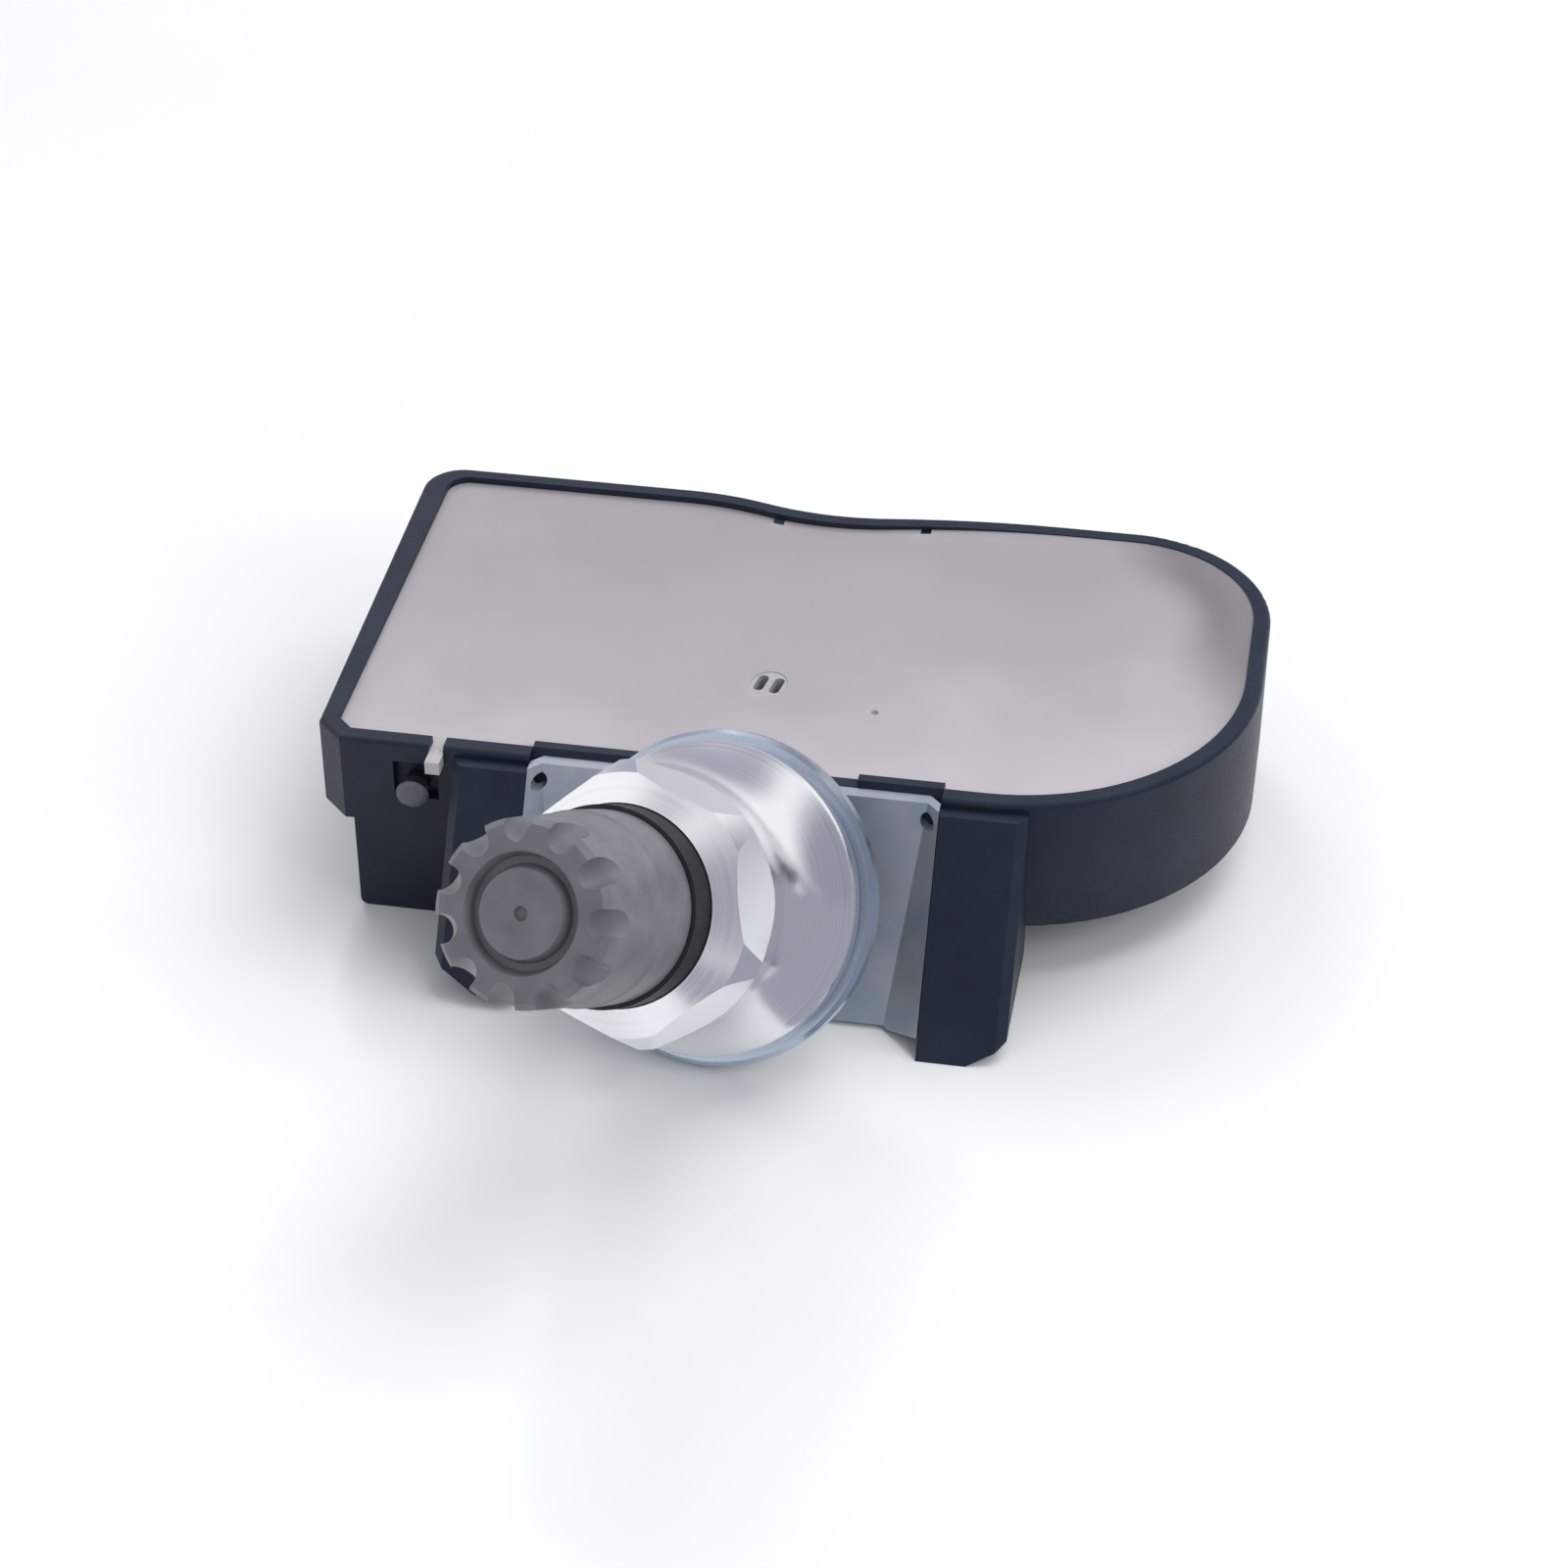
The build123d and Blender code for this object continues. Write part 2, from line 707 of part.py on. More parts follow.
# Wake-up coil under the board: ferrite with two square ends, copper wound between them
coil_middle = round_end_floor - coil_height / 2
with BuildPart() as antenna_core:
    with Locations((coil_x, coil_y, coil_middle)):
        Box(coil_length, coil_core, coil_core)
    for side in (-1, 1):
        with Locations((coil_x + side * (coil_length - coil_end) / 2, coil_y, coil_middle)):
            Box(coil_end, coil_height, coil_height)

with BuildPart() as antenna_winding:
    with Locations((coil_x, coil_y, coil_middle)):
        Box(coil_length - 2 * coil_end, coil_core + 2 * coil_layer, coil_core + 2 * coil_layer)
        Box(coil_length, coil_core, coil_core, mode=Mode.SUBTRACT)

# Sending antenna: a strip on edge along the left and rear of the board
with BuildPart() as antenna_loop:
    with BuildSketch(Plane.XY.offset(board_top)):
        with BuildLine():
            Polyline(
                (loop_left, loop_front),
                (loop_left + loop_thickness, loop_front),
                (loop_left + loop_thickness, loop_rear - loop_thickness),
                (loop_right, loop_rear - loop_thickness),
                (loop_right, loop_rear),
                (loop_left, loop_rear),
                close=True,
            )
        make_face()
    extrude(amount=loop_height)

# Potting: fills the tray round everything in it
embedded = (
    circuit_board,
    coin_cell,
    battery_tab_lower,
    battery_tab_upper,
    pressure_chip,
    port_sleeve,
    radio_chip,
    crystal,
    capacitors,
    antenna_core,
    antenna_winding,
    antenna_loop,
)
with BuildPart() as potting:
    fill_cavity(potting_top, Mode.ADD)
    block(drain_width, 2 * wall, potting_top - tray_height + drain_depth, drain_bottom)
    add(housing.part, mode=Mode.SUBTRACT)
    for piece in embedded:
        add(piece.part, mode=Mode.SUBTRACT)
    with Locations(swivel.origin):
        Sphere(socket_radius, mode=Mode.SUBTRACT)
    with BuildSketch(Plane.XY.offset(chip_top)):
        with Locations(Location((port_x, port_y), port_turned)):
            Ellipse(port_length / 2, port_width / 2)
    extrude(amount=tray_height, mode=Mode.SUBTRACT)

pieces = {
    "housing": housing,
    "potting": potting,
    "saddle_plate": saddle_plate,
    "circuit_board": circuit_board,
    "coin_cell": coin_cell,
    "battery_tab_lower": battery_tab_lower,
    "battery_tab_upper": battery_tab_upper,
    "pressure_chip": pressure_chip,
    "port_sleeve": port_sleeve,
    "radio_chip": radio_chip,
    "crystal": crystal,
    "capacitors": capacitors,
    "antenna_core": antenna_core,
    "antenna_winding": antenna_winding,
    "antenna_loop": antenna_loop,
    "valve_stem": valve_stem,
    "grommet": grommet,
    "core_barrel": core_barrel,
    "barrel_gasket": barrel_gasket,
    "core_spring": core_spring,
    "core_pin": core_pin,
    "core_seal": core_seal,
    "washer": washer,
    "flange_nut": flange_nut,
    "cap_seal_ring": cap_seal_ring,
    "valve_cap": valve_cap,
}
os.makedirs("parts", exist_ok=True)
for name, piece in pieces.items():
    piece.part.label = name
    export_step(piece.part, f"parts/{name}.step")
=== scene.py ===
import json
from math import cos, radians, sin, tau

import bmesh
import bpy
import numpy as np
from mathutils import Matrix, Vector
from mathutils.geometry import delaunay_2d_cdt


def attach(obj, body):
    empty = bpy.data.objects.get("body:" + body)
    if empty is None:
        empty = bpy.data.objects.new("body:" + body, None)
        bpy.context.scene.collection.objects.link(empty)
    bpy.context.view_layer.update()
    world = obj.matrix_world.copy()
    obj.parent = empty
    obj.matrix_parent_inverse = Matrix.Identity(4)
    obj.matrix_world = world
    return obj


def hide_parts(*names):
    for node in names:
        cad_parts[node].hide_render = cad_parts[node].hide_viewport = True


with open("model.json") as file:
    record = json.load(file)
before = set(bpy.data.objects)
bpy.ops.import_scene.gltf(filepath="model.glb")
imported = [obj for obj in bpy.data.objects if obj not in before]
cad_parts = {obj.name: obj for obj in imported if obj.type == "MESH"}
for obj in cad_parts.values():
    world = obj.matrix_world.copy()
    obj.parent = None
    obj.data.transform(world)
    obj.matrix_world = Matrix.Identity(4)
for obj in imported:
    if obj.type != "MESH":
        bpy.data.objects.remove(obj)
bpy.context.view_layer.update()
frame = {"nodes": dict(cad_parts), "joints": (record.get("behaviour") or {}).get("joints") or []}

MM = 0.001
scene = bpy.context.scene
nodes = frame["nodes"]
joints = {joint["name"]: joint for joint in frame["joints"]}
ball_centre = Vector(joints["valve_swing"]["pos_m"])
valve_axis = Vector(joints["cap_turn"]["axis"])

# Camera, as the photograph was taken
view_target = Vector((3.1, -16.2, 12.8)) * MM
view_elevation = radians(36)
view_yaw = radians(10)
view_distance = 218 * MM
view_lens = 83.25
view_clip = 1 * MM

# Range that most values of a noise lie in, and the detail of each kind of noise
noise_low = 0.3
noise_high = 0.7
cloud_detail = 3.0
grain_detail = 4.0
ring_detail = 2.0

# Potting as it set: it climbs the walls, most at the rear right, and has one burst bubble
weld_gap = 0.0005 * MM
level_slack = 0.001 * MM
outline_step = 0.35 * MM
outline_rings = (0.07 * MM, 0.16 * MM, 0.28 * MM, 0.45 * MM, 0.7 * MM, 1.1 * MM, 1.7 * MM)
outline_ring_share = 0.9
inner_step = 1.2 * MM
inner_clearance = inner_step / 3
climb_least = 0.05 * MM
climb_most = 0.42 * MM
climb_width_least = 0.7 * MM
climb_width_most = 2.6 * MM
climb_way = Vector((0.8, 0.6))
climb_start = 4 * MM
climb_end = 24 * MM
wave_height = 0.012 * MM
wave_length = 11 * MM
bubble_place = Vector((7.2, -7.1)) * MM
bubble_radius = 0.26 * MM
bubble_clearance = 3 * bubble_radius
bubble_depth = 0.4 * MM
bubble_points = 14
bubble_rings = (0.3, 0.55, 0.75, 0.9, 1.0, 1.15, 1.5, 2.2)
inside_triangles = 1
merge_gap = 1e-6

# Tone of the potting: where its painted light, darker towards the rear and lighter towards the front,
# and its clouds lie in the noise range, and the painted shade, a dark zone by the wall at the rear
# right
painted_light_range = (0.34, 0.66)
cloud_range = (-0.06, 0.06)
painted_shade_centre = Vector((21.25, 6.7, 12.2)) * MM
painted_shade_way = Vector((0.93, 0.37, 0))
painted_shade_from_centre = (2.4 * MM, 6.4 * MM)
painted_shade_along = (0.8 * MM, 6.2 * MM)
painted_shade_darkest = 0.52

# Domed head of the peg beside the left ear
peg_centre = Vector((-19.9, -17.0, 9.75)) * MM
peg_size = Vector((1.05, 0.55, 0.95)) * MM
peg_turns = 32
peg_rings = 10

# Stem, as heights along the valve axis from the ball centre and radii, and its two threads
stem_ball = 3.4 * MM
stem_neck = 2.4 * MM
stem_collar = 5.2 * MM
stem_collar_start = 5.0 * MM
stem_collar_end = 5.5 * MM
stem_sleeve_end = 7.6 * MM
stem_shoulder = 14.29 * MM
stem_end = 32.8 * MM
stem_tip_chamfer = 0.5 * MM
stem_bore = 1.1 * MM
stem_chamber = 2.6 * MM
stem_chamber_start = 19.1 * MM
nut_thread_radius = 4.0 * MM
nut_thread_pitch = 0.8 * MM
cap_thread_radius = 3.85 * MM
cap_thread_pitch = 0.794 * MM
thread_depth = 0.42 * MM
thread_rows = 10
ball_rows = 24
stem_turns = 64
stem_sharp_angle = radians(40)

# Stage
floor_size = 6.0
light_colour = (0.90, 0.95, 1.0)
light_strength = 0.57
backdrop_colour = (0.98, 0.985, 1.0)
card_core = 0.55
mix_colour_inputs = (6, 7)
mix_colour_output = 2


# Materials


def add_node(tree, kind, inputs=None, **settings):
    """New shader node; an input is a value or the socket that feeds it."""
    node = tree.nodes.new(kind)
    for name, value in settings.items():
        setattr(node, name, value)
    for name, value in (inputs or {}).items():
        if isinstance(value, bpy.types.NodeSocket):
            tree.links.new(value, node.inputs[name])
        else:
            node.inputs[name].default_value = value
    return node


def number_math(tree, operation, first, second):
    """Result of a Math node."""
    node = add_node(tree, "ShaderNodeMath", {0: first, 1: second}, operation=operation)
    return node.outputs["Value"]


def vector_math(tree, operation, inputs, output="Vector"):
    """Result of a Vector Math node: a vector, or a number where the output is its Value."""
    node = add_node(tree, "ShaderNodeVectorMath", inputs, operation=operation)
    return node.outputs[output]


def object_place(tree):
    """Place on the object's own axes."""
    return add_node(tree, "ShaderNodeTexCoord").outputs["Object"]


def new_material(name, metallic=0.0, specular=0.5, coat=0.0, coat_roughness=0.1):
    """Material with a principled shader whose plain values are set."""
    material = bpy.data.materials.new(name)
    material.use_nodes = True
    tree = material.node_tree
    shader = tree.nodes["Principled BSDF"]
    shader.inputs["Metallic"].default_value = metallic
    shader.inputs["Specular IOR Level"].default_value = specular
    shader.inputs["Coat Weight"].default_value = coat
    shader.inputs["Coat Roughness"].default_value = coat_roughness
    return material, tree, shader


def noise(tree, size, detail=cloud_detail):
    """Noise over the object's own place, with features of about the given size in metres."""
    texture = add_node(
        tree,
        "ShaderNodeTexNoise",
        {"Vector": object_place(tree), "Scale": 1 / size, "Detail": detail},
    )
    return texture.outputs["Fac"]


def spread(tree, value, low, high, start=noise_low, end=noise_high):
    """Map a value from the range between start and end to that from low to high."""
    node = add_node(
        tree,
        "ShaderNodeMapRange",
        {"Value": value, "From Min": start, "From Max": end, "To Min": low, "To Max": high},
    )
    return node.outputs["Result"]


def ease(tree, value, start, end):
    """Smooth step from 0 at the start to 1 at the end."""
    node = add_node(
        tree,
        "ShaderNodeMapRange",
        {"Value": value, "From Min": start, "From Max": end},
        interpolation_type="SMOOTHSTEP",
    )
    return node.outputs["Result"]


def tint(tree, value, *colours):
    """Colour ramp over the noise range, from the colours given in order."""
    ramp = add_node(tree, "ShaderNodeValToRGB", {"Fac": value})
    elements = ramp.color_ramp.elements
    while len(elements) < len(colours):
        elements.new(0.5)
    for number, (element, colour) in enumerate(zip(elements, colours)):
        element.position = noise_low + (noise_high - noise_low) * number / (len(colours) - 1)
        element.color = (*colour, 1)
    return ramp.outputs["Color"]


def relief(tree, shader, value, depth):
    """Bump of the given depth in metres."""
    bump = add_node(tree, "ShaderNodeBump", {"Height": value, "Distance": depth})
    tree.links.new(bump.outputs["Normal"], shader.inputs["Normal"])


def moulded(name, colours, cloud, grain, depth, roughness, **plain):
    """Moulded or rolled stuff: cloudy colour, fine grain in gloss and relief."""
    material, tree, shader = new_material(name, **plain)
    tree.links.new(tint(tree, noise(tree, cloud), *colours), shader.inputs["Base Color"])
    fine = noise(tree, grain, grain_detail)
    tree.links.new(spread(tree, fine, *roughness), shader.inputs["Roughness"])
    relief(tree, shader, fine, depth)
    return material


def turned(name, colours, pitch, depth, roughness, anisotropic=0.0):
    """Metal turned on a lathe round the valve axis: fine rings in colour, gloss and relief."""
    material, tree, shader = new_material(name, metallic=1.0)
    shader.inputs["Anisotropic"].default_value = anisotropic
    arm = vector_math(tree, "SUBTRACT", {0: object_place(tree), 1: ball_centre})
    height = vector_math(tree, "DOT_PRODUCT", {0: arm, 1: valve_axis}, "Value")
    around = vector_math(tree, "CROSS_PRODUCT", {0: valve_axis, 1: arm})
    radius = vector_math(tree, "LENGTH", {0: around}, "Value")
    tool_path = number_math(tree, "ADD", height, radius)
    rings = add_node(
        tree,
        "ShaderNodeTexNoise",
        {"W": tool_path, "Scale": 1 / pitch, "Detail": ring_detail},
        noise_dimensions="1D",
    ).outputs["Fac"]
    tree.links.new(tint(tree, rings, *colours), shader.inputs["Base Color"])
    tree.links.new(spread(tree, rings, *roughness), shader.inputs["Roughness"])
    tree.links.new(around, shader.inputs["Tangent"])
    relief(tree, shader, rings, depth)
    return material


def cast_resin(name, colours, painted_light_way, painted_light_start, painted_light_end, cloud, grain, depth, roughness):
    """Cast resin: faint clouds of tone, painted light that lightens it along one way, and painted
    shade in a zone by a wall.
    """
    material, tree, shader = new_material(name)
    place = object_place(tree)
    # Painted light: the tone grows lighter along one way, so the potting is lighter towards the front
    # and darker towards the rear
    painted_light_reach = vector_math(tree, "DOT_PRODUCT", {0: place, 1: painted_light_way}, "Value")
    painted_light_tone = spread(tree, painted_light_reach, *painted_light_range, painted_light_start, painted_light_end)
    clouds = spread(tree, noise(tree, cloud), *cloud_range)
    colour = tint(tree, number_math(tree, "ADD", painted_light_tone, clouds), *colours)
    # Painted shade: the colour darkens in a zone that grows darker out from its centre towards the
    # rear right wall
    arm = vector_math(tree, "SUBTRACT", {0: place, 1: painted_shade_centre})
    outwards = vector_math(tree, "LENGTH", {0: arm}, "Value")
    along = vector_math(tree, "DOT_PRODUCT", {0: arm, 1: painted_shade_way}, "Value")
    near_wall = ease(tree, outwards, *painted_shade_from_centre)
    near_corner = ease(tree, along, *painted_shade_along)
    painted_shade_mask = number_math(tree, "MULTIPLY", near_wall, near_corner)
    shade = spread(tree, painted_shade_mask, 1, painted_shade_darkest, 0, 1)
    shaded = vector_math(tree, "SCALE", {0: colour, "Scale": shade})
    tree.links.new(shaded, shader.inputs["Base Color"])
    fine = noise(tree, grain)
    tree.links.new(spread(tree, fine, *roughness), shader.inputs["Roughness"])
    relief(tree, shader, fine, depth)
    return material


black_nylon = moulded(
    "black_nylon",
    ((0.009, 0.015, 0.031), (0.014, 0.022, 0.042)),
    cloud=4 * MM,
    grain=0.18 * MM,
    depth=0.012 * MM,
    roughness=(0.42, 0.58),
    specular=0.24,
    coat=0.1,
    coat_roughness=0.3,
)
peg_plastic = moulded(
    "peg_plastic",
    ((0.085, 0.088, 0.108), (0.115, 0.118, 0.14)),
    cloud=1 * MM,
    grain=0.15 * MM,
    depth=0.008 * MM,
    roughness=(0.34, 0.46),
)
# Painted light and shade on the potting: darker towards the rear, lighter towards the front, darker
# by the rear right wall
potting_resin = cast_resin(
    "potting_resin",
    ((0.362, 0.328, 0.350), (0.418, 0.381, 0.405), (0.555, 0.512, 0.540)),
    painted_light_way=(0.25, -0.97, 0),
    painted_light_start=-12 * MM,
    painted_light_end=19 * MM,
    cloud=14 * MM,
    grain=1.2 * MM,
    depth=0.003 * MM,
    roughness=(0.22, 0.27),
)
zinc_plate = moulded(
    "zinc_plate",
    ((0.36, 0.42, 0.50), (0.46, 0.48, 0.52), (0.42, 0.48, 0.56)),
    cloud=3 * MM,
    grain=0.25 * MM,
    depth=0.006 * MM,
    roughness=(0.34, 0.48),
    metallic=0.7,
)
zinc_washer = turned(
    "zinc_washer",
    ((0.46, 0.53, 0.63), (0.56, 0.63, 0.72)),
    pitch=0.12 * MM,
    depth=0.002 * MM,
    roughness=(0.2, 0.32),
)
nut_aluminium = turned(
    "nut_aluminium",
    ((0.87, 0.87, 0.90), (0.94, 0.94, 0.96)),
    pitch=0.09 * MM,
    depth=0.0015 * MM,
    roughness=(0.18, 0.26),
    anisotropic=0.4,
)
stem_aluminium = turned(
    "stem_aluminium",
    ((0.66, 0.66, 0.69), (0.78, 0.78, 0.81)),
    pitch=0.1 * MM,
    depth=0.002 * MM,
    roughness=(0.2, 0.34),
)
core_brass = turned(
    "core_brass",
    ((0.66, 0.46, 0.18), (0.76, 0.55, 0.24)),
    pitch=0.08 * MM,
    depth=0.002 * MM,
    roughness=(0.2, 0.34),
)
cap_plastic = moulded(
    "cap_plastic",
    ((0.13, 0.13, 0.147), (0.18, 0.18, 0.201)),
    cloud=2 * MM,
    grain=0.15 * MM,
    depth=0.012 * MM,
    roughness=(0.36, 0.5),
)
rubber = moulded(
    "rubber",
    ((0.010, 0.010, 0.013), (0.019, 0.019, 0.023)),
    cloud=2 * MM,
    grain=0.12 * MM,
    depth=0.008 * MM,
    roughness=(0.5, 0.7),
)
port_rubber = moulded(
    "port_rubber",
    ((0.36, 0.345, 0.37), (0.44, 0.425, 0.455)),
    cloud=0.6 * MM,
    grain=0.12 * MM,
    depth=0.01 * MM,
    roughness=(0.45, 0.65),
)
gasket_plastic = moulded(
    "gasket_plastic",
    ((0.55, 0.10, 0.07), (0.64, 0.14, 0.09)),
    cloud=1 * MM,
    grain=0.1 * MM,
    depth=0.005 * MM,
    roughness=(0.4, 0.55),
)
board_laminate = moulded(
    "board_laminate",
    ((0.012, 0.10, 0.045), (0.02, 0.14, 0.06)),
    cloud=3 * MM,
    grain=0.3 * MM,
    depth=0.006 * MM,
    roughness=(0.28, 0.4),
)
cell_steel = moulded(
    "cell_steel",
    ((0.58, 0.58, 0.57), (0.68, 0.68, 0.67)),
    cloud=4 * MM,
    grain=0.1 * MM,
    depth=0.002 * MM,
    roughness=(0.22, 0.36),
    metallic=1.0,
)
chip_plastic = moulded(
    "chip_plastic",
    ((0.015, 0.015, 0.016), (0.025, 0.025, 0.027)),
    cloud=1 * MM,
    grain=0.08 * MM,
    depth=0.004 * MM,
    roughness=(0.5, 0.65),
)
capacitor_ceramic = moulded(
    "capacitor_ceramic",
    ((0.36, 0.25, 0.15), (0.44, 0.32, 0.2)),
    cloud=0.8 * MM,
    grain=0.08 * MM,
    depth=0.003 * MM,
    roughness=(0.35, 0.5),
)
ferrite = moulded(
    "ferrite",
    ((0.03, 0.03, 0.033), (0.05, 0.05, 0.054)),
    cloud=1 * MM,
    grain=0.1 * MM,
    depth=0.005 * MM,
    roughness=(0.4, 0.6),
)
copper = moulded(
    "copper",
    ((0.60, 0.26, 0.13), (0.72, 0.34, 0.18)),
    cloud=0.5 * MM,
    grain=0.1 * MM,
    depth=0.004 * MM,
    roughness=(0.22, 0.36),
    metallic=1.0,
)

finishes = {
    "housing": black_nylon,
    "potting": potting_resin,
    "saddle_plate": zinc_plate,
    "circuit_board": board_laminate,
    "coin_cell": cell_steel,
    "battery_tab_lower": cell_steel,
    "battery_tab_upper": cell_steel,
    "pressure_chip": chip_plastic,
    "port_sleeve": port_rubber,
    "radio_chip": chip_plastic,
    "crystal": cell_steel,
    "capacitors": capacitor_ceramic,
    "antenna_core": ferrite,
    "antenna_winding": copper,
    "antenna_loop": copper,
    "valve_stem": stem_aluminium,
    "grommet": rubber,
    "core_barrel": core_brass,
    "barrel_gasket": gasket_plastic,
    "core_spring": cell_steel,
    "core_pin": core_brass,
    "core_seal": rubber,
    "washer": zinc_washer,
    "flange_nut": nut_aluminium,
    "cap_seal_ring": rubber,
    "valve_cap": cap_plastic,
}
for name, material in finishes.items():
    nodes[name].data.materials.clear()
    nodes[name].data.materials.append(material)


def new_piece(name, form, material):
    """Object of the scene, made from a form that is then let go."""
    mesh = bpy.data.meshes.new(name)
    form.to_mesh(mesh)
    form.free()
    mesh.materials.append(material)
    piece = bpy.data.objects.new(name, mesh)
    scene.collection.objects.link(piece)
    return piece


def join_rings(form, rings):
    """Smooth band of faces between each ring of points and the next."""
    for low, high in zip(rings, rings[1:]):
        for turn in range(len(low)):
            after = (turn + 1) % len(low)
            form.faces.new((low[turn], low[after], high[after], high[turn])).smooth = True


# Potting


def gap_to_outline(points, starts, ends):
    """Distance from each point to the nearest stretch of the outlines."""
    along = ends - starts
    reach = points[:, None] - starts
    share = np.clip((reach * along).sum(2) / (along**2).sum(1), 0, 1)
    return np.linalg.norm(reach - share[..., None] * along, axis=2).min(1)


def inside_outline(points, starts, ends):
    """Whether each point lies inside the outlines and outside their holes."""
    x, y = points[:, :1], points[:, 1:]
    crosses = (starts[:, 1] > y) != (ends[:, 1] > y)
    rise = ends[:, 1] - starts[:, 1]
    rise = np.where(rise == 0, 1, rise)
    meets = starts[:, 0] + (y - starts[:, 1]) * (ends[:, 0] - starts[:, 0]) / rise
    return (crosses & (x < meets)).sum(1) % 2 == 1


def potting_height(point, gap):
    """Height of the set potting over its CAD level, at a distance from the outline."""
    share = (point.dot(climb_way) - climb_start) / (climb_end - climb_start)
    share = min(max(share, 0), 1)
    share = share * share * (3 - 2 * share)
    climb = climb_least + (climb_most - climb_least) * share
    width = climb_width_least + (climb_width_most - climb_width_least) * share
    wall = max(0, 1 - gap / width) ** 2
    wave = wave_height * sin(tau * point.x / wave_length) * cos(tau * point.y / wave_length)
    from_bubble = (point - bubble_place).length / bubble_radius
    bubble = bubble_depth * max(0, 1 - from_bubble**2)
    return climb * wall + wave * (1 - wall) - bubble


def top_and_outline(form, level):
    """The faces of a flat top, and the edges round it and its holes."""
    top = []
    for face in form.faces:
        if min(vertex.co.z for vertex in face.verts) > level - level_slack:
            top.append(face)
    outline = [edge for edge in form.edges if sum(face in top for face in edge.link_faces) == 1]
    return top, outline


def inner_points(flat, starts, ends):
    """Points of the surface inside its outlines: rings along them, a grid and the bubble."""
    middles = (starts + ends) / 2
    across = (ends - starts)[:, ::-1] * (1, -1)
    across /= np.linalg.norm(across, axis=1)[:, None]
    groups = []
    for distance in outline_rings:
        ring = np.concatenate([middles + across * distance, middles - across * distance])
        groups.append(ring[gap_to_outline(ring, starts, ends) > outline_ring_share * distance])
    low, high = flat.min(0), flat.max(0)
    columns = np.arange(low[0], high[0], inner_step)
    rows = np.arange(low[1], high[1], inner_step)
    grid = []
    for place, y in enumerate(rows):
        shift = inner_step / 2 * (place % 2)
        grid.extend((x + shift, y) for x in columns)
    grid = np.array(grid)
    groups.append(grid[gap_to_outline(grid, starts, ends) > outline_rings[-1] + inner_clearance])
    points = np.concatenate(groups)
    points = points[inside_outline(points, starts, ends)]
    points = points[np.linalg.norm(points - np.array(bubble_place), axis=1) > bubble_clearance]
    bubble = [tuple(bubble_place)]
    for share in bubble_rings:
        for turn in range(bubble_points):
            angle = tau * turn / bubble_points
            way = Vector((cos(angle), sin(angle)))
            bubble.append(tuple(bubble_place + way * bubble_radius * share))
    return np.concatenate([points, bubble])


def make_potting():
    """The CAD potting with its flat top exchanged for the surface of set resin."""
    form = bmesh.new()
    form.from_mesh(nodes["potting"].data)
    bmesh.ops.remove_doubles(form, verts=form.verts, dist=weld_gap)
    level = max(vertex.co.z for vertex in form.verts)
    top, outline = top_and_outline(form, level)
    for edge in outline:
        corner = edge.verts[0]
        for left in range(int(edge.calc_length() / outline_step), 0, -1):
            corner = bmesh.utils.edge_split(edge, corner, 1 / (left + 1))[1]
    top, outline = top_and_outline(form, level)
    bmesh.ops.delete(form, geom=top, context="FACES")
    for face in form.faces:
        face.smooth = False
    for edge in outline:
        edge.smooth = False

    corners = list(dict.fromkeys(vertex for edge in outline for vertex in edge.verts))
    number = {vertex: place for place, vertex in enumerate(corners)}
    pairs = [(number[edge.verts[0]], number[edge.verts[1]]) for edge in outline]
    flat = np.array([vertex.co.xy for vertex in corners])
    starts = flat[[first for first, last in pairs]]
    ends = flat[[last for first, last in pairs]]
    inner = inner_points(flat, starts, ends)
    gaps = gap_to_outline(inner, starts, ends)

    made = list(corners)
    for place, gap in zip(inner, gaps):
        made.append(form.verts.new((*place, level + potting_height(Vector(place), gap))))
    for vertex in corners:
        vertex.co.z = level + potting_height(vertex.co.xy, 0)
    plan = [Vector(place) / MM for place in np.concatenate([flat, inner])]
    found = delaunay_2d_cdt(plan, pairs, [], inside_triangles, merge_gap)
    places, triangles, sources = found[0], found[2], found[3]
    centres = [sum((places[spot] for spot in face), Vector((0, 0))) / len(face) for face in triangles]
    keep = inside_outline(np.array(centres) * MM, starts, ends)
    for face, kept in zip(triangles, keep):
        if kept:
            form.faces.new([made[sources[spot][0]] for spot in face]).smooth = True
    unused = [vertex for vertex in form.verts if not vertex.link_faces]
    bmesh.ops.delete(form, geom=unused, context="VERTS")
    bmesh.ops.recalc_face_normals(form, faces=form.faces)
    piece = new_piece("potting_fill", form, potting_resin)
    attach(piece, "housing")
    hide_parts("potting")


make_potting()


# Peg


def make_peg():
    """Half of an egg shape, closed behind, on the flat end of the CAD peg."""
    form = bmesh.new()
    rings = []
    for row in range(peg_rings):
        rise = tau / 4 * row / peg_rings
        ring = []
        for turn in range(peg_turns):
            angle = tau * turn / peg_turns
            way = Vector((cos(angle) * cos(rise), -sin(rise), sin(angle) * cos(rise)))
            ring.append(form.verts.new(peg_centre + way * peg_size))
        rings.append(ring)
    tip = form.verts.new(peg_centre - Vector((0, peg_size.y, 0)))
    form.faces.new(rings[0])
    join_rings(form, rings)
    for turn in range(peg_turns):
        form.faces.new((rings[-1][turn], rings[-1][(turn + 1) % peg_turns], tip)).smooth = True
    bmesh.ops.recalc_face_normals(form, faces=form.faces)
    piece = new_piece("peg_head", form, peg_plastic)
    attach(piece, "housing")


make_peg()


# Stem


def plain_ring(height, radius):
    """Ring of the stem without a groove, as its height, radius, groove depth and pitch."""
    return height, radius, 0, 1


def thread_rings(start, end, radius, pitch):
    """Rings along a thread, each as its height, full radius, groove depth and pitch."""
    count = round((end - start) / pitch * thread_rows)
    for row in range(count + 1):
        height = start + (end - start) * row / count
        runout = min(1, (height - start) / pitch, (end - height) / pitch)
        yield height, radius, thread_depth * runout, pitch


